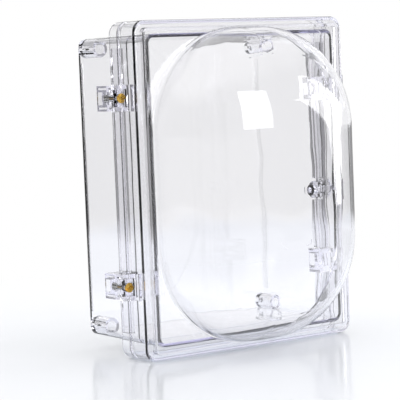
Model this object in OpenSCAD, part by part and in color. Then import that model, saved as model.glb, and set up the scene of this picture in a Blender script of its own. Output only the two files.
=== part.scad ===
// Hinged clear polycarbonate enclosure: a drafted back box with a turned-back flange, a
// one-piece skirted cover with an oval dome window, two screwed-on hinge knuckles and a
// quarter-turn lock.
// Millimetres. +Z up, the cover faces -Y, the hinges are on -X and the lock is on +X.
// The origin is below the middle of the whole assembly, at the height of its lowest edge.

/* [Cover] */
// Height of the cover over its skirt
cover_height = 282; // [240:1:340]
// Width of the cover over its skirt
cover_width = 222; // [190:1:280]
// Depth of the skirt behind the border face
skirt_depth = 20.5; // [16:0.5:21]
// Radius of the cover's outer corners
cover_corner = 11; // [9:0.5:14]
// Wall of every moulded part
wall = 3; // [2:0.25:3.5]
// Width of the flat border around the raised window
border_width = 6; // [5:0.25:7]
// Rounding of the border's outer front edge
border_round = 2.5; // [1:0.25:2.8]
// How far the window panel stands in front of the border
panel_rise = 5; // [3.5:0.25:7]

/* [Dome] */
// Half of the dome's width at its foot
dome_half_width = 98; // [85:0.5:102]
// Half of the dome's height at its foot
dome_half_height = 133.6; // [120:0.1:133.8]
// Half of the dome's flat run across its top and bottom
dome_flat_half = 10; // [4:0.5:16]
// Height of the dome in front of the panel
dome_rise = 60; // [54:1:64]
// Straight height of the dome's wall above its foot
foot_collar = 3; // [1:0.5:4]
// Radius of the dome's flank in section
flank_radius = 46; // [36:1:48]
// Radius of the hollow fillet at the foot of the dome
foot_fillet = 1.2; // [0.6:0.1:1.2]

/* [Back box] */
// Depth from the border face of the cover to the back face
case_depth = 106; // [90:1:140]
// How far the cover and the flange stand out past the box walls
overhang = 11.3; // [10:0.1:12.5]
// Radius of the box's four long corners
box_corner = 8; // [5:0.5:10]
// Rounding of the box's back edge
back_round = 3; // [1:0.25:4]
// Front face of the flange, behind the border face
flange_front = 24; // [23:0.5:26]
// Depth of the turned-back lip of the flange
lip_depth = 13; // [9:0.5:14]
// How far each side wall leans in over its depth, so that the box leaves its mould
wall_draft = 0.8; // [0:0.1:1.5]

/* [Mounting bosses] */
// Distance of a mounting hole from the outside of the walls beside it
boss_inset = 9.7; // [9:0.1:11]
// Radius of a mounting boss
boss_radius = 7.5; // [6.5:0.25:8]
// Length of a mounting boss in front of the back wall
boss_length = 22; // [12:1:40]
// Radius of the mounting screw hole
mount_hole_radius = 2.6; // [2:0.1:3]
// Radius of the counterbore for the mounting screw's head
counterbore_radius = 4.75; // [4.2:0.05:5]

/* [Hinges] */
// Height of each hinge above and below mid-height
hinge_offset = 78; // [60:1:90]
// Distance from the cover's side to the hinge axis
axis_out = 6.6; // [6.4:0.1:7]
// Distance from the border face back to the hinge axis
axis_back = 16.2; // [15.8:0.1:16.3]
// Radius of the knuckle and of the cover's lugs
knuckle_radius = 5.4; // [5.2:0.1:5.5]
// Half height of the knuckle between the lugs
knuckle_half = 7.1; // [6.5:0.1:7.5]
// Height of one lug
lug_height = 3.6; // [3:0.1:4]
// Radius of the trunnion that turns in the lug
trunnion_radius = 2.2; // [1.8:0.1:2.6]
// Depth of the ear that the knuckle is screwed to
ear_depth = 18; // [15:1:22]
// Half height of the ear
ear_half = 10.5; // [10:0.25:11.5]
// Thickness of the pad on the cover's side in front of a knuckle
pad_thickness = 2.9; // [2:0.1:3]

/* [Brass screws] */
// Radius of the slotted head
head_radius = 4; // [3.5:0.1:4.2]
// Height of the slotted head
head_height = 2.4; // [1.8:0.1:2.6]
// Radius of the threaded shank
shank_radius = 2.15; // [1.8:0.05:2.2]
// Length of the shank below the head
shank_length = 16; // [12:0.5:17]
// Width of the driver slot
slot_width = 1.4; // [1:0.1:1.6]
// Depth of the driver slot
slot_depth = 1.2; // [0.8:0.1:1.4]

/* [Quarter-turn lock] */
// Height of the lock below mid-height
lock_drop = 13; // [0:1:40]
// Distance from the border face back to the lock's axis
lock_back = 31; // [30.5:0.5:32]
// Radius of the lock's shaft
shaft_radius = 4; // [3.8:0.1:4.2]
// Radius of the shaft's inner end
neck_radius = 3; // [2.6:0.1:3.2]
// Distance across the two flats that slide out of the tab
flat_size = 5; // [4.6:0.1:5.4]
// Radius of the knob's disc
knob_radius = 10; // [8:0.5:11]
// Thickness of the wing on the knob
wing_thickness = 4.4; // [3:0.1:5]

/* [Gasket] */
// Thickness of the gasket between the box rim and the cover
gasket_thickness = 3; // [2:0.25:5]
// How much of the box rim's width the gasket covers
gasket_lap = 1.7; // [1:0.1:2.6]

/* [Fits] */
// Radial clearance of a turning fit
turning_clearance = 0.05; // [0.02:0.01:0.1]
// Gap between parts that move past one another
moving_gap = 0.3; // [0.3:0.05:0.5]
// Gap left between two seated faces
seat_gap = 0.05; // [0.02:0.01:0.08]

/* [Hidden] */
$fn = 96;

mid_height = cover_height / 2;
half_width = cover_width / 2;
total_depth = case_depth + panel_rise + dome_rise;
border_face = panel_rise + dome_rise - total_depth / 2;
cover_core_x = half_width - cover_corner;
cover_core_z = mid_height - cover_corner;
box_half_x = half_width - overhang;
box_half_z = mid_height - overhang;
box_core_x = box_half_x - box_corner;
box_core_z = box_half_z - box_corner;
back_face = case_depth;
inner_back = case_depth - wall;

// the window panel ends where the flat border begins
panel_reach = cover_corner - border_width;
panel_edge_round = 1.2;
panel_back = wall - panel_rise;
gasket_back = panel_back + gasket_thickness;
wall_front = gasket_back + moving_gap;
gasket_inside = box_half_x - gasket_lap;
gasket_reach = half_width - border_width - wall - seat_gap;

// the dome's section is a straight collar, a flank arc and a crown arc, each tangent to the next
dome_corner = dome_half_width - dome_flat_half;
dome_core_z = dome_half_height - dome_corner;
flank_centre = dome_corner - flank_radius;
crown_lift = dome_rise - foot_collar - flank_radius;
crown_drop = (flank_centre * flank_centre - crown_lift * crown_lift) / (2 * crown_lift);
crown_radius = dome_rise - foot_collar + crown_drop;

axis_x = half_width + axis_out;
side_reach = axis_x + knuckle_radius;
ear_front = axis_back + knuckle_radius + 0.4;
head_face = axis_back - 4.6;
head_back = head_face + head_height;
lug_inner = knuckle_half + moving_gap;
lug_outer = lug_inner + lug_height;
insert_radius = 3.2;
insert_length = 9;
ear_core_half = 5.4;
screw_clearance = 0.15;

tab_inner = half_width + 0.6;
tab_outer = tab_inner + wall;
knob_inner = tab_outer + 1.5;
wing_base = knob_inner + 2.2;
shoulder_x = box_half_x + 0.5;
seat_radius = shaft_radius + moving_gap;
tab_radius = 9;
wall_inner_x = box_half_x - wall;
ring_section = 1.3;
groove_radius = neck_radius - 0.4;
ring_centre = wall_inner_x - wall_draft / 2 - moving_gap - ring_section;
shaft_end = ring_centre - ring_section - 0.8;
lock_boss_radius = 7.6;

// ---- frames and sweeps ----

module placed() {
  translate([0, border_face, mid_height])
    children();
}

// a sheet in the X-Z plane, from depth y0 to depth y1
module sheet(y0, y1) {
  translate([0, y1, 0])
    rotate([90, 0, 0])
      linear_extrude(y1 - y0)
        children();
}

module rounded_rect(half_x, half_z, radius) {
  square([2 * (half_x - radius), 2 * half_z], center = true);
  square([2 * half_x, 2 * (half_z - radius)], center = true);
  for (sx = [-1, 1])
    for (sz = [-1, 1])
      translate([sx * (half_x - radius), sz * (half_z - radius)])
        circle(radius);
}

// carries an outline round a rounded rectangle: x of the outline points outward
module around(core_x, core_z) {
  for (side = [0, 1])
    mirror([side, 0, 0])
      translate([core_x, 0, -core_z])
        linear_extrude(2 * core_z)
          children();
  for (side = [0, 1])
    mirror([0, 0, side])
      translate([core_x, 0, core_z])
        rotate([0, -90, 0])
          linear_extrude(2 * core_x)
            children();
  for (sx = [0, 1])
    for (sz = [0, 1])
      mirror([sx, 0, 0])
        mirror([0, 0, sz])
          translate([core_x, 0, -core_z])
            rotate([-90, 0, 0])
              rotate_extrude(angle = 90)
                children();
}

module span(u0, u1, v0, v1) {
  translate([u0, v0])
    square([u1 - u0, v1 - v0]);
}

// what is cut away to round a corner that points to (su, sv)
module corner_cut(u, v, radius, su, sv) {
  translate([u - su * radius, v - sv * radius])
    difference() {
      translate([su > 0 ? 0 : -radius - 1, sv > 0 ? 0 : -radius - 1])
        square(radius + 1);
      circle(radius);
    }
}

module at_hinges() {
  for (z = [-hinge_offset, hinge_offset])
    translate([0, 0, z])
      children();
}

module on_both_sides() {
  for (side = [0, 1])
    mirror([side, 0, 0])
      children();
}

// ---- back box ----

module box_shell() {
  around(box_core_x, box_core_z)
    difference() {
      union() {
        polygon([
          [box_corner - wall, wall_front],
          [box_corner, wall_front],
          [box_corner - wall_draft, back_face],
          [box_corner - wall_draft - wall, back_face]
        ]);
        span(0, box_corner - wall_draft, inner_back, back_face);
      }
      corner_cut(box_corner - wall_draft, back_face, back_round, 1, 1);
    }
  sheet(inner_back, back_face)
    square([2 * box_core_x, 2 * box_core_z], center = true);
}

module flange() {
  around(cover_core_x, cover_core_z)
    difference() {
      union() {
        span(0, cover_corner, flange_front, flange_front + wall);
        span(cover_corner - wall, cover_corner, flange_front, flange_front + lip_depth);
      }
      corner_cut(cover_corner, flange_front, 1, 1, -1);
      corner_cut(cover_corner, flange_front + lip_depth, 1, 1, 1);
    }
  sheet(flange_front, flange_front + wall)
    difference() {
      square([2 * cover_core_x, 2 * cover_core_z], center = true);
      rounded_rect(box_half_x - wall / 2, box_half_z - wall / 2, box_corner - wall / 2);
    }
}

module ear() {
  difference() {
    translate([box_half_x - 1, ear_front, -ear_half])
      cube([side_reach - box_half_x + 1, ear_depth, 2 * ear_half]);
    for (z = [-8.8, 7.2])
      translate([side_reach - 8, ear_front + wall, z])
        cube([9, ear_depth - 5.5, 1.6]);
    translate([axis_x, ear_front - 1, 0])
      rotate([-90, 0, 0])
        cylinder(r = insert_radius, h = insert_length + 1.6);
    translate([box_half_x + 2, ear_front + insert_length + wall, -ear_core_half])
      cube([side_reach - box_half_x - 4.5, ear_depth, 2 * ear_core_half]);
  }
}

module mounting_posts(radius, y0, y1) {
  for (sx = [-1, 1])
    for (sz = [-1, 1])
      translate([sx * (box_half_x - boss_inset), y0, sz * (box_half_z - boss_inset)])
        rotate([-90, 0, 0])
          cylinder(r = radius, h = y1 - y0);
}

module along_lock(x0, x1, radius) {
  translate([x0, lock_back, -lock_drop])
    rotate([0, 90, 0])
      cylinder(r = radius, h = x1 - x0);
}

module back_box() {
  color([0.86, 0.88, 0.90, 0.35])
    placed()
      difference() {
        union() {
          box_shell();
          flange();
          on_both_sides()
            at_hinges()
              ear();
          mounting_posts(boss_radius, inner_back - boss_length, inner_back + 1);
          along_lock(box_half_x - 1, half_width - wall / 2, lock_boss_radius);
        }
        mounting_posts(mount_hole_radius, inner_back - boss_length - 1, back_face + 1);
        mounting_posts(counterbore_radius, inner_back - boss_length - 1, inner_back - wall);
        along_lock(wall_inner_x - 1, shoulder_x + 1, neck_radius + turning_clearance);
        along_lock(shoulder_x, half_width + 1, shaft_radius + turning_clearance);
      }
}

// ---- cover ----

module cover_shell() {
  around(cover_core_x, cover_core_z)
    difference() {
      union() {
        span(cover_corner - wall, cover_corner, 0, skirt_depth);
        span(panel_reach - wall, cover_corner, 0, wall);
        span(panel_reach - wall, panel_reach, -panel_rise, wall);
        span(0, panel_reach, -panel_rise, panel_back);
      }
      corner_cut(cover_corner, 0, border_round, 1, -1);
      corner_cut(cover_corner, skirt_depth, 0.8, 1, 1);
      corner_cut(panel_reach, -panel_rise, panel_edge_round, 1, -1);
    }
  sheet(-panel_rise, panel_back)
    square([2 * cover_core_x, 2 * cover_core_z], center = true);
}

module lug() {
  difference() {
    union() {
      translate([axis_x, axis_back, 0])
        cylinder(r = knuckle_radius, h = lug_height);
      translate([half_width - 1, axis_back - knuckle_radius, 0])
        cube([axis_out + 1, skirt_depth - axis_back + knuckle_radius, lug_height]);
    }
    translate([axis_x, axis_back, -1])
      cylinder(r = trunnion_radius + turning_clearance, h = lug_height + 2);
  }
}

module cover_hinge_side() {
  for (side = [0, 1])
    mirror([0, 0, side])
      translate([0, 0, lug_inner])
        lug();
  translate([half_width - 1, 3.5, -lug_outer])
    cube([pad_thickness + 1, 6, 2 * lug_outer]);
}

module lock_tab() {
  difference() {
    union() {
      translate([tab_inner, 3.5, -lock_drop - tab_radius])
        cube([wall, lock_back - 3.5, 2 * tab_radius]);
      translate([half_width - 1, 3.5, -lock_drop - tab_radius])
        cube([2, skirt_depth - 4.5, 2 * tab_radius]);
      along_lock(tab_inner, tab_outer, tab_radius);
    }
    along_lock(tab_inner - 1, tab_outer + 1, seat_radius);
    translate([tab_inner - 1, lock_back, -lock_drop - flat_size / 2 - moving_gap])
      cube([wall + 2, 2 * tab_radius, flat_size + 2 * moving_gap]);
  }
}

// half section of the dome from its corner centre outward, grown inward by the given thickness
module dome_section(thickness) {
  join_x = (crown_radius - thickness) * flank_centre / (crown_radius - flank_radius);
  translate([0, foot_collar]) {
    intersection() {
      translate([0, -crown_drop])
        circle(crown_radius - thickness);
      span(0, join_x, 0, dome_rise);
    }
    intersection() {
      translate([flank_centre, 0])
        circle(flank_radius - thickness);
      span(join_x, dome_corner, 0, dome_rise);
    }
  }
  span(0, dome_corner - thickness, -thickness, foot_collar);
}

module foot_section() {
  difference() {
    span(dome_corner - 0.5, dome_corner + foot_fillet, -0.6, foot_fillet);
    translate([dome_corner + foot_fillet, foot_fillet])
      circle(foot_fillet);
  }
}

// the rounding of the hollow's mouth, one wall away from the foot's fillet
module mouth_section() {
  difference() {
    span(dome_corner - wall - 0.5, dome_corner + foot_fillet, -wall - 1, foot_fillet);
    translate([dome_corner + foot_fillet, foot_fillet])
      circle(foot_fillet + wall);
  }
}

// stands a half section up round the window's middle, under a flat crown of the given height
module oval_dome(crown) {
  translate([0, -panel_rise, 0]) {
    around(dome_flat_half, dome_core_z)
      mirror([0, 1])
        children();
    sheet(-crown, 0)
      square([2 * dome_flat_half, 2 * dome_core_z], center = true);
  }
}

module cover() {
  color([0.86, 0.86, 0.93, 0.35])
    placed()
      difference() {
        union() {
          cover_shell();
          oval_dome(dome_rise) {
            dome_section(0);
            foot_section();
          }
          on_both_sides()
            at_hinges()
              cover_hinge_side();
          lock_tab();
        }
        oval_dome(dome_rise - wall) {
          dome_section(wall);
          mouth_section();
          span(0, dome_corner - wall, -wall - 1, 0);
        }
        sheet(-panel_rise - 1, panel_back + 1)
          square([2 * dome_flat_half, 2 * dome_core_z], center = true);
      }
}

module cover_gasket() {
  color([0.90, 0.90, 0.88, 0.6])
    placed()
      sheet(panel_back + seat_gap, gasket_back)
        difference() {
          rounded_rect(gasket_reach, gasket_reach + mid_height - half_width,
            gasket_reach - cover_core_x);
          rounded_rect(gasket_inside, gasket_inside + mid_height - half_width,
            box_corner - gasket_lap);
        }
}

// ---- hinges ----

module knuckle() {
  difference() {
    union() {
      difference() {
        union() {
          translate([0, 0, -knuckle_half])
            cylinder(r = knuckle_radius, h = 2 * knuckle_half);
          translate([-knuckle_radius, 0, -knuckle_half])
            cube([2 * knuckle_radius, ear_front - seat_gap - axis_back, 2 * knuckle_half]);
        }
        translate([-8, head_face - axis_back - 4, -knuckle_half - 1])
          cube([16, 4, 2 * knuckle_half + 2]);
      }
      translate([0, 0, -lug_outer + 0.4])
        cylinder(r = trunnion_radius, h = 2 * lug_outer - 0.8);
    }
    translate([0, -8, 0])
      rotate([-90, 0, 0])
        cylinder(r = shank_radius + screw_clearance, h = 16);
    translate([0, head_face - axis_back - 1, 0])
      rotate([-90, 0, 0])
        cylinder(r = head_radius + screw_clearance, h = head_height + 1);
  }
}

module on_hinge(z) {
  placed()
    translate([-axis_x, axis_back, z])
      children();
}

module hinge_knuckle_upper() {
  color([0.84, 0.84, 0.92, 0.4])
    on_hinge(hinge_offset)
      knuckle();
}

module hinge_knuckle_lower() {
  color([0.84, 0.84, 0.92, 0.4])
    on_hinge(-hinge_offset)
      knuckle();
}

module hinge_screw(slot_angle) {
  translate([0, head_face - axis_back, 0])
    difference() {
      rotate([-90, 0, 0]) {
        cylinder(r = head_radius, h = head_height);
        cylinder(r = shank_radius, h = head_height + shank_length);
      }
      rotate([0, slot_angle, 0])
        translate([-head_radius - 1, -1, -slot_width / 2])
          cube([2 * head_radius + 2, slot_depth + 1, slot_width]);
    }
}

module hinge_screw_upper() {
  color([0.80, 0.60, 0.22])
    on_hinge(hinge_offset)
      hinge_screw(20);
}

module hinge_screw_lower() {
  color([0.80, 0.60, 0.22])
    on_hinge(-hinge_offset)
      hinge_screw(-25);
}

module screw_insert() {
  translate([0, ear_front - axis_back + 0.2, 0])
    rotate([-90, 0, 0])
      difference() {
        cylinder(r = insert_radius, h = insert_length);
        translate([0, 0, -1])
          cylinder(r = shank_radius + 0.1, h = insert_length + 2);
      }
}

module screw_insert_upper() {
  color([0.78, 0.58, 0.22])
    on_hinge(hinge_offset)
      screw_insert();
}

module screw_insert_lower() {
  color([0.78, 0.58, 0.22])
    on_hinge(-hinge_offset)
      screw_insert();
}

// ---- quarter-turn lock ----

module thumb_turn() {
  color([0.86, 0.86, 0.92, 0.4])
    placed()
      difference() {
        union() {
          along_lock(shaft_end, shoulder_x + 1, neck_radius);
          along_lock(shoulder_x + 0.2, knob_inner + 1, shaft_radius);
          along_lock(knob_inner, wing_base, knob_radius);
          intersection() {
            along_lock(wing_base - 1, side_reach, knob_radius - 1);
            translate([wing_base - 1, lock_back - knob_radius, -lock_drop - wing_thickness / 2])
              cube([side_reach - wing_base + 1, 2 * knob_radius, wing_thickness]);
          }
        }
        for (side = [0, 1])
          translate([0, 0, -lock_drop])
            mirror([0, 0, side])
              translate([half_width + 0.2, lock_back - 6, flat_size / 2])
                cube([knob_inner - half_width - 0.2, 12, 6]);
        lock_ring(groove_radius + ring_section, ring_section);
      }
}

// a ring round the lock's axis, at the inner end of the shaft
module lock_ring(radius, section) {
  translate([ring_centre, lock_back, -lock_drop])
    rotate([0, 90, 0])
      rotate_extrude()
        translate([radius, 0])
          circle(section);
}

module shaft_o_ring() {
  color([0.06, 0.06, 0.07])
    placed()
      lock_ring(groove_radius + ring_section, ring_section);
}

back_box();
cover();
cover_gasket();
hinge_knuckle_upper();
hinge_knuckle_lower();
hinge_screw_upper();
hinge_screw_lower();
screw_insert_upper();
screw_insert_lower();
thumb_turn();
shaft_o_ring();
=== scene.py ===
"""Hinged clear polycarbonate enclosure: finishes, small fittings, studio and camera.

Metres, in the part's own frame: +Z up, the domed cover faces -Y, hinges on -X, lock on +X.
"""
import math

import bmesh
import bpy
from mathutils import Matrix, Quaternion, Vector


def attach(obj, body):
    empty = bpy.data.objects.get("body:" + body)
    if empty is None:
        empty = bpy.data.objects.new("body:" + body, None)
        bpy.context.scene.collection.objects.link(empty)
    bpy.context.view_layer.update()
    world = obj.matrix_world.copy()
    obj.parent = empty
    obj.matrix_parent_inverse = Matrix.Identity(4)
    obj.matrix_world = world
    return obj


MM = 0.001
# what light keeps of its colour on its way through the clear walls, and how fast it loses the rest
DEPTH_COLOUR = "A8A0F0"
DEPTH_DENSITY = 7.5
# roughness that the polished mould leaves, and what handling adds to it
POLISH = 0.006
HANDLING = 0.03
# the white backdrop shows at a level of 1, and it lights the box at this one
BACKDROP_LIGHT = 0.8
# the way from the box to the middle of the backdrop
BACKDROP_WAY = (0.85, 0.52, 0.0)
# levels of the unlit room that only mirrored light shows: its sides, its far end and its ceiling
ROOM_LEVEL = 0.36
ROOM_END = 0.05
ROOM_CEILING = 0.85

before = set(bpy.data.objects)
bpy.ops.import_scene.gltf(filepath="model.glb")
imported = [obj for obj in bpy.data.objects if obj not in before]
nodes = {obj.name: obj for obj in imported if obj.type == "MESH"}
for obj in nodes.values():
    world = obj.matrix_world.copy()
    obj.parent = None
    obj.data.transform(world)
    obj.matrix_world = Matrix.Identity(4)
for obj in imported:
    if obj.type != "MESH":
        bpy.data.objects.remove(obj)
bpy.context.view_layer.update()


# ---------------------------------------------------------------- colour and node helpers

def linear(hex_colour):
    """An sRGB hex colour as the linear values that a shader socket wants."""
    channels = []
    for start in (0, 2, 4):
        value = int(hex_colour[start:start + 2], 16) / 255
        channels.append(value / 12.92 if value <= 0.04045 else ((value + 0.055) / 1.055) ** 2.4)
    return (*channels, 1.0)


def new_material(name):
    """An empty node material."""
    material = bpy.data.materials.new(name)
    material.use_nodes = True
    material.node_tree.nodes.clear()
    return material


def add(tree, kind, settings=None, values=None, links=None):
    """Adds a node, sets its properties and sockets, and links outputs into its inputs."""
    node = tree.nodes.new(kind)
    for key, value in (settings or {}).items():
        setattr(node, key, value)
    for key, value in (values or {}).items():
        node.inputs[key].default_value = value
    for key, output in (links or {}).items():
        tree.links.new(output, node.inputs[key])
    return node


# ---------------------------------------------------------------- finishes

def moulded_polycarbonate(name, wave_size, wave_slope):
    """Optical grade polycarbonate as it leaves a polished mould: water clear, IOR 1.585.

    The colour is all in the depth: a 3 mm wall looks colourless and a long path turns violet grey.
    wave_size is the length in metres of the soft waves that the cooling mould leaves, and
    wave_slope how strongly they bend what is seen through the wall.
    """
    material = new_material(name)
    tree = material.node_tree
    place = add(tree, "ShaderNodeTexCoord")
    # the melt's long soft waves, only on the face where light enters, so that the wall is wedged
    flow = add(tree, "ShaderNodeTexNoise",
               values={"Scale": 1 / wave_size, "Detail": 1.0, "Roughness": 0.35},
               links={"Vector": place.outputs["Object"]})
    side = add(tree, "ShaderNodeNewGeometry")
    entering = add(tree, "ShaderNodeMapRange", values={"To Min": wave_slope, "To Max": 0.0},
                   links={"Value": side.outputs["Backfacing"]})
    # where the dome's patches come to a point, the smoothed normal strays more than 10 degrees from
    # the facet's own, which is then the truer one
    agree = add(tree, "ShaderNodeVectorMath", {"operation": "DOT_PRODUCT"},
                links={0: side.outputs["Normal"], 1: side.outputs["True Normal"]})
    astray = add(tree, "ShaderNodeMath", {"operation": "LESS_THAN"}, values={1: 0.985},
                 links={0: agree.outputs["Value"]})
    facing = add(tree, "ShaderNodeMix", {"data_type": "VECTOR"},
                 links={"Factor": astray.outputs["Value"], "A": side.outputs["Normal"],
                        "B": side.outputs["True Normal"]})
    waves = add(tree, "ShaderNodeBump", values={"Distance": wave_size * 0.05},
                links={"Height": flow.outputs["Fac"], "Strength": entering.outputs["Result"],
                       "Normal": facing.outputs["Result"]})
    # handling haze: patches of 15 mm that are a touch less polished than the rest
    haze = add(tree, "ShaderNodeTexNoise",
               values={"Scale": 65.0, "Detail": 6.0, "Roughness": 0.62},
               links={"Vector": place.outputs["Object"]})
    polish = add(tree, "ShaderNodeMapRange",
                 values={"From Min": 0.4, "From Max": 0.8,
                         "To Min": POLISH, "To Max": POLISH + HANDLING},
                 links={"Value": haze.outputs["Fac"]})
    plastic = add(tree, "ShaderNodeBsdfPrincipled",
                  values={"Base Color": (1, 1, 1, 1), "Metallic": 0.0, "IOR": 1.585,
                          "Transmission Weight": 1.0},
                  links={"Roughness": polish.outputs["Result"], "Normal": waves.outputs["Normal"]})
    depth = add(tree, "ShaderNodeVolumeAbsorption",
                values={"Color": linear(DEPTH_COLOUR), "Density": DEPTH_DENSITY})
    add(tree, "ShaderNodeOutputMaterial",
        links={"Surface": plastic.outputs["BSDF"], "Volume": depth.outputs["Volume"]})
    return material


def turned_metal(name, bright, dulled):
    """A turned and lightly tumbled metal part: bright, with patches of duller skin."""
    material = new_material(name)
    tree = material.node_tree
    place = add(tree, "ShaderNodeTexCoord")
    # handled and aired patches of 2.4 mm
    patches = add(tree, "ShaderNodeTexNoise",
                  values={"Scale": 420.0, "Detail": 5.0, "Roughness": 0.6},
                  links={"Vector": place.outputs["Object"]})
    colour = add(tree, "ShaderNodeMix", {"data_type": "RGBA"},
                 values={"A": linear(bright), "B": linear(dulled)},
                 links={"Factor": patches.outputs["Fac"]})
    # tool marks 0.15 mm apart, drawn twice as coarse so that they show
    marks = add(tree, "ShaderNodeTexNoise",
                values={"Scale": 3200.0, "Detail": 2.0, "Roughness": 0.5},
                links={"Vector": place.outputs["Object"]})
    skin = add(tree, "ShaderNodeBump", values={"Strength": 0.2, "Distance": 0.00003},
               links={"Height": marks.outputs["Fac"]})
    dull = add(tree, "ShaderNodeMapRange",
               values={"From Min": 0.3, "From Max": 0.75, "To Min": 0.18, "To Max": 0.36},
               links={"Value": patches.outputs["Fac"]})
    metal = add(tree, "ShaderNodeBsdfPrincipled", values={"Metallic": 1.0},
                links={"Base Color": colour.outputs["Result"],
                       "Roughness": dull.outputs["Result"], "Normal": skin.outputs["Normal"]})
    add(tree, "ShaderNodeOutputMaterial", links={"Surface": metal.outputs["BSDF"]})
    return material


def cast_silicone():
    """Translucent silicone strip with a fine matt skin and clouds of 6 mm, IOR 1.41."""
    material = new_material("cast_silicone")
    tree = material.node_tree
    place = add(tree, "ShaderNodeTexCoord")
    cloud = add(tree, "ShaderNodeTexNoise",
                values={"Scale": 180.0, "Detail": 4.0, "Roughness": 0.55},
                links={"Vector": place.outputs["Object"]})
    colour = add(tree, "ShaderNodeMix", {"data_type": "RGBA"},
                 values={"A": linear("F7F7F5"), "B": linear("E9EAE8")},
                 links={"Factor": cloud.outputs["Fac"]})
    skin = add(tree, "ShaderNodeBump", values={"Strength": 0.15, "Distance": 0.0001},
               links={"Height": cloud.outputs["Fac"]})
    strip = add(tree, "ShaderNodeBsdfPrincipled",
                values={"Roughness": 0.3, "IOR": 1.41, "Transmission Weight": 0.92, "Alpha": 0.2},
                links={"Base Color": colour.outputs["Result"], "Normal": skin.outputs["Normal"]})
    add(tree, "ShaderNodeOutputMaterial", links={"Surface": strip.outputs["BSDF"]})
    return material


def moulded_nitrile():
    """Black nitrile O-ring, moulded, with a faint bloom in specks of 1.4 mm on its skin."""
    material = new_material("moulded_nitrile_rubber")
    tree = material.node_tree
    place = add(tree, "ShaderNodeTexCoord")
    bloom = add(tree, "ShaderNodeTexNoise",
                values={"Scale": 700.0, "Detail": 5.0, "Roughness": 0.6},
                links={"Vector": place.outputs["Object"]})
    colour = add(tree, "ShaderNodeMix", {"data_type": "RGBA"},
                 values={"A": linear("141417"), "B": linear("26262A")},
                 links={"Factor": bloom.outputs["Fac"]})
    dull = add(tree, "ShaderNodeMapRange", values={"To Min": 0.35, "To Max": 0.6},
               links={"Value": bloom.outputs["Fac"]})
    skin = add(tree, "ShaderNodeBump", values={"Strength": 0.2, "Distance": 0.00005},
               links={"Height": bloom.outputs["Fac"]})
    rubber = add(tree, "ShaderNodeBsdfPrincipled", values={"IOR": 1.52},
                 links={"Base Color": colour.outputs["Result"],
                        "Roughness": dull.outputs["Result"], "Normal": skin.outputs["Normal"]})
    add(tree, "ShaderNodeOutputMaterial", links={"Surface": rubber.outputs["BSDF"]})
    return material


def finish_node(name, material):
    """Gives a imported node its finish."""
    for slot in nodes[name].material_slots:
        slot.material = material


box_plastic = moulded_polycarbonate("moulded_polycarbonate_box",
                                    wave_size=0.045, wave_slope=0.1)
cover_plastic = moulded_polycarbonate("moulded_polycarbonate_cover",
                                      wave_size=0.045, wave_slope=0.3)
fitting_plastic = moulded_polycarbonate("moulded_polycarbonate_fittings",
                                        wave_size=0.02, wave_slope=0.05)
brass = turned_metal("turned_brass", bright="E3BC5E", dulled="B58A3A")
nickel = turned_metal("nickel_plated_brass", bright="E6E5E2", dulled="C9C7C3")
finish_node("back_box", box_plastic)
finish_node("cover", cover_plastic)
finish_node("cover_gasket", cast_silicone())
finish_node("thumb_turn", fitting_plastic)
finish_node("shaft_o_ring", moulded_nitrile())
for end in ("upper", "lower"):
    finish_node("hinge_knuckle_" + end, fitting_plastic)
    finish_node("hinge_screw_" + end, brass)
    finish_node("screw_insert_" + end, nickel)


# ---------------------------------------------------------------- objects

def put_in_scene(name, data):
    """Makes an object of a mesh, a lamp or a camera, at the origin, and puts it in the scene."""
    thing = bpy.data.objects.new(name, data)
    bpy.context.scene.collection.objects.link(thing)
    return thing


def object_from(shape, name, material):
    """Ends a bmesh and makes it an object with one material."""
    mesh = bpy.data.meshes.new(name)
    shape.to_mesh(mesh)
    shape.free()
    mesh.materials.append(material)
    return put_in_scene(name, mesh)


# ---------------------------------------------------------------- what the box's moulding also has

def corner_fillets():
    """Hollow fillets where the long side walls meet the box's back, between the bosses.

    Millimetres, until the last step. Their corner is sunk into both walls, so they look moulded on.
    """
    radius, sink = 2.6, 0.1
    wall, back = 95.9, 82.5
    foot, length = 33.0, 216.0
    # the section's two legs, across from the side wall and out from the back
    legs = ((-sink, radius), (-sink, -sink), (radius, -sink), (radius, 0))
    # a quarter turn has 8 steps, and the last is the line that closes the section
    step, arc_steps = math.radians(90 / 8), 7
    shape = bmesh.new()
    for side in (-1, 1):
        for across, depth in legs:
            last = shape.verts.new((side * (wall - across), back - depth, foot))
        bmesh.ops.spin(shape, geom=[last], cent=(side * (wall - radius), back - radius, foot),
                       axis=(0, 0, -side), angle=step * arc_steps, steps=arc_steps)
        shape.verts.ensure_lookup_table()
        section = shape.faces.new(shape.verts[-len(legs) - arc_steps:])
        drawn_out = bmesh.ops.extrude_face_region(shape, geom=[section])["geom"]
        top = [part for part in drawn_out if isinstance(part, bmesh.types.BMVert)]
        bmesh.ops.translate(shape, vec=(0, 0, length), verts=top)
    bmesh.ops.recalc_face_normals(shape, faces=shape.faces)
    bmesh.ops.scale(shape, vec=(MM, MM, MM), verts=shape.verts)
    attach(object_from(shape, "inner_corner_fillets", box_plastic), "box")


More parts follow.
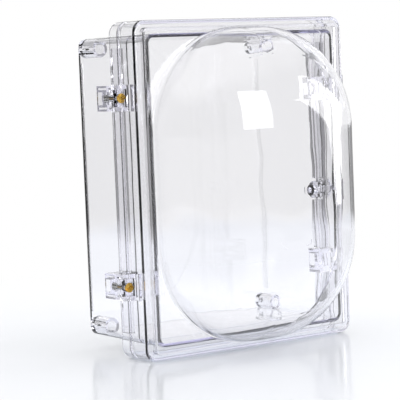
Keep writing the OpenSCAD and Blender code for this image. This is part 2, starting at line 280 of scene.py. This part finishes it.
def flange_rails():
    """Solid rails that fill the channel behind the flange's lip along both long sides.

    Millimetres, until the last step. They stop short of the hinge ears and of the lock's boss.
    """
    width, depth = 5.1, 9.95
    out, behind = 105.55, 11.375
    edge_round = 0.3
    hinge_side = ((22, 52), (74, 208), (230, 260))
    lock_side = ((22, 52), (74, 118.5), (137.5, 208), (230, 260))
    shape = bmesh.new()
    for side, spans in ((-1, hinge_side), (1, lock_side)):
        for low, high in spans:
            rail = bmesh.ops.create_cube(shape, size=1.0)["verts"]
            bmesh.ops.scale(shape, vec=(width, depth, high - low), verts=rail)
            bmesh.ops.translate(shape, vec=(side * out, behind, (low + high) / 2), verts=rail)
    bmesh.ops.bevel(shape, geom=shape.edges[:], offset=edge_round, segments=2, profile=0.5,
                    affect="EDGES", material=-1)
    bmesh.ops.scale(shape, vec=(MM, MM, MM), verts=shape.verts)
    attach(object_from(shape, "flange_rails", box_plastic), "box")


# ---------------------------------------------------------------- studio

def seen_or_through(tree, lighting, seen):
    """A level that is `seen` for the eye, for gloss and through clear pieces, else `lighting`."""
    path = add(tree, "ShaderNodeLightPath")
    eye = add(tree, "ShaderNodeMath", {"operation": "MAXIMUM"},
              links={0: path.outputs["Is Camera Ray"], 1: path.outputs["Is Glossy Ray"]})
    through = add(tree, "ShaderNodeMath", {"operation": "MAXIMUM"},
                  links={0: eye.outputs["Value"], 1: path.outputs["Is Transmission Ray"]})
    level = add(tree, "ShaderNodeMapRange", values={"To Min": lighting},
                links={"Value": through.outputs["Value"], "To Max": seen})
    return level.outputs["Result"]


def after_mirror(tree, mirrored):
    """A level that is white until the path has been mirrored once, then `mirrored`."""
    path = add(tree, "ShaderNodeLightPath")
    once = add(tree, "ShaderNodeMath", {"operation": "MINIMUM"}, values={1: 1.0},
               links={0: path.outputs["Glossy Depth"]})
    level = add(tree, "ShaderNodeMapRange", values={"To Min": 1.0},
                links={"Value": once.outputs["Value"], "To Max": mirrored})
    return level.outputs["Result"]


def floor():
    """A white table top that runs out of sight, with a faint satin sheen in patches of 0.1 m."""
    # distances from the box: the lit table turns into the backdrop, and the table ends
    whitens, white = 0.17, 0.6
    table_thins, table_gone = 1.05, 1.35
    # glow that lifts the lit table for the eye, and for all other light
    lift_seen, lift_else = 0.15, 0.3

    sheet = bmesh.new()
    bmesh.ops.create_grid(sheet, x_segments=1, y_segments=1, size=6.0)
    material = new_material("white_table_top")
    tree = material.node_tree
    place = add(tree, "ShaderNodeTexCoord")
    grain = add(tree, "ShaderNodeTexNoise", values={"Scale": 9.0, "Detail": 3.0},
                links={"Vector": place.outputs["Object"]})
    satin = add(tree, "ShaderNodeMapRange", values={"To Min": 0.12, "To Max": 0.2},
                links={"Value": grain.outputs["Fac"]})
    surface = add(tree, "ShaderNodeBsdfPrincipled",
                  values={"Base Color": linear("EFF1F5"), "IOR": 1.45},
                  links={"Roughness": satin.outputs["Result"]})
    path = add(tree, "ShaderNodeLightPath")
    # the lit table is nearly white to the eye and whiter in the clear plastic, and keeps the shadow
    lifted = add(tree, "ShaderNodeMapRange", values={"To Min": lift_else, "To Max": lift_seen},
                 links={"Value": path.outputs["Is Camera Ray"]})
    lift = add(tree, "ShaderNodeEmission", values={"Color": linear("EDF2FC")},
               links={"Strength": seen_or_through(tree, 0.0, lifted.outputs["Result"])})
    near = add(tree, "ShaderNodeAddShader",
               links={0: surface.outputs["BSDF"], 1: lift.outputs["Emission"]})
    # further off it turns into the white backdrop
    reach = add(tree, "ShaderNodeVectorMath", {"operation": "LENGTH"},
                links={0: place.outputs["Object"]})
    away = add(tree, "ShaderNodeMapRange", {"interpolation_type": "SMOOTHSTEP"},
               values={"From Min": whitens, "From Max": white},
               links={"Value": reach.outputs["Value"]})
    # through clear plastic the table is a cool white as far as its edge, 1.2 m away, and mirrored
    # light shows the room beyond that edge
    table = add(tree, "ShaderNodeMapRange", {"interpolation_type": "SMOOTHSTEP"},
                values={"From Min": table_thins, "From Max": table_gone,
                        "To Min": 1.0, "To Max": 0.0},
                links={"Value": reach.outputs["Value"]})
    seen_cool = add(tree, "ShaderNodeMath", {"operation": "MULTIPLY"},
                    links={0: table.outputs["Result"], 1: path.outputs["Is Transmission Ray"]})
    cool = add(tree, "ShaderNodeMix", {"data_type": "RGBA"},
               values={"A": linear("FFFFFF"), "B": linear("F8FAFE")},
               links={"Factor": seen_cool.outputs["Value"]})
    edge = add(tree, "ShaderNodeMapRange", values={"To Min": ROOM_LEVEL, "To Max": 1.0},
               links={"Value": table.outputs["Result"]})
    level = seen_or_through(tree, BACKDROP_LIGHT, after_mirror(tree, edge.outputs["Result"]))
    far = add(tree, "ShaderNodeEmission",
              links={"Color": cool.outputs["Result"], "Strength": level})
    both = add(tree, "ShaderNodeMixShader",
               links={0: away.outputs["Result"], 1: near.outputs["Shader"],
                      2: far.outputs["Emission"]})
    add(tree, "ShaderNodeOutputMaterial", links={"Surface": both.outputs["Shader"]})
    object_from(sheet, "floor", material)


def surroundings():
    """A white backdrop, a softer white as a source of light, and the dim room around them.

    Only what has been mirrored at least once shows the room, so a view straight through the
    clear walls is white from every side.
    """
    world = bpy.data.worlds.new("studio")
    world.use_nodes = True
    tree = world.node_tree
    tree.nodes.clear()
    way = add(tree, "ShaderNodeTexCoord")
    facing = add(tree, "ShaderNodeVectorMath", {"operation": "DOT_PRODUCT"},
                 values={1: BACKDROP_WAY}, links={0: way.outputs["Generated"]})
    # from the dark far end to the room's sides, and from there to the backdrop
    sides = add(tree, "ShaderNodeMapRange", {"interpolation_type": "SMOOTHSTEP"},
                values={"From Min": -0.9, "From Max": -0.1,
                        "To Min": ROOM_END, "To Max": ROOM_LEVEL},
                links={"Value": facing.outputs["Value"]})
    room = add(tree, "ShaderNodeMapRange", {"interpolation_type": "SMOOTHSTEP"},
               values={"From Min": 0.45, "From Max": 0.75, "To Max": 1.0},
               links={"Value": facing.outputs["Value"], "To Min": sides.outputs["Result"]})
    height = add(tree, "ShaderNodeSeparateXYZ", links={"Vector": way.outputs["Generated"]})
    ceiling = add(tree, "ShaderNodeMapRange", {"interpolation_type": "SMOOTHSTEP"},
                  values={"From Min": 0.35, "From Max": 0.7, "To Max": ROOM_CEILING},
                  links={"Value": height.outputs["Z"]})
    around = add(tree, "ShaderNodeMath", {"operation": "MAXIMUM"},
                 links={0: room.outputs["Result"], 1: ceiling.outputs["Result"]})
    level = seen_or_through(tree, BACKDROP_LIGHT, after_mirror(tree, around.outputs["Value"]))
    glow = add(tree, "ShaderNodeBackground", values={"Color": (1, 1, 1, 1)},
               links={"Strength": level})
    add(tree, "ShaderNodeOutputWorld", links={"Surface": glow.outputs["Background"]})
    bpy.context.scene.world = world


def softbox(name, place, aim, width, height, roll, power):
    """A rectangular soft light at `place` that shines at `aim`, turned `roll` degrees, in watts."""
    light = bpy.data.lights.new(name, "AREA")
    light.shape = "RECTANGLE"
    light.size = width
    light.size_y = height
    light.energy = power
    lamp = put_in_scene(name, light)
    lamp.location = place
    turn = (Vector(aim) - Vector(place)).to_track_quat("-Z", "Y")
    lamp.rotation_euler = (turn @ Quaternion((0, 0, 1), math.radians(roll))).to_euler()


def camera():
    """Long lens, in front and to the hinge side, a little above the middle of the cover."""
    yaw, pitch, roll = math.radians(35.93), math.radians(4.34), math.radians(-2.31)
    middle = Vector((0, -20.5, 141)) * MM
    distance, aside, lower = 1.5019, -0.040565, 0.014068
    ahead = Vector((math.sin(yaw) * math.cos(pitch), math.cos(yaw) * math.cos(pitch),
                    -math.sin(pitch)))
    side = Vector((math.cos(yaw), -math.sin(yaw), 0))
    down = ahead.cross(side)
    # the camera leans a little about the way it looks
    side, down = (math.cos(roll) * side - math.sin(roll) * down,
                  math.sin(roll) * side + math.cos(roll) * down)
    lens = bpy.data.cameras.new("camera")
    lens.sensor_width = 36
    lens.lens = 158.05
    lens.clip_end = 60
    eye = put_in_scene("camera", lens)
    eye.matrix_world = (Matrix.Translation(middle - ahead * distance + side * aside + down * lower)
                        @ Matrix((side, -down, -ahead)).transposed().to_4x4())
    bpy.context.scene.camera = eye


corner_fillets()
flange_rails()
floor()
surroundings()
softbox("window_ahead", place=(0.40, -1.45, 0.57), aim=(0.40, 0, 0.57),
        width=0.66, height=0.72, roll=0, power=5.7)
softbox("window_right", place=(1.37, -0.69, 0.50), aim=(0, -0.08, 0.50),
        width=1.30, height=0.50, roll=-35, power=7.5)
camera()
bpy.context.scene.view_settings.view_transform = "Standard"
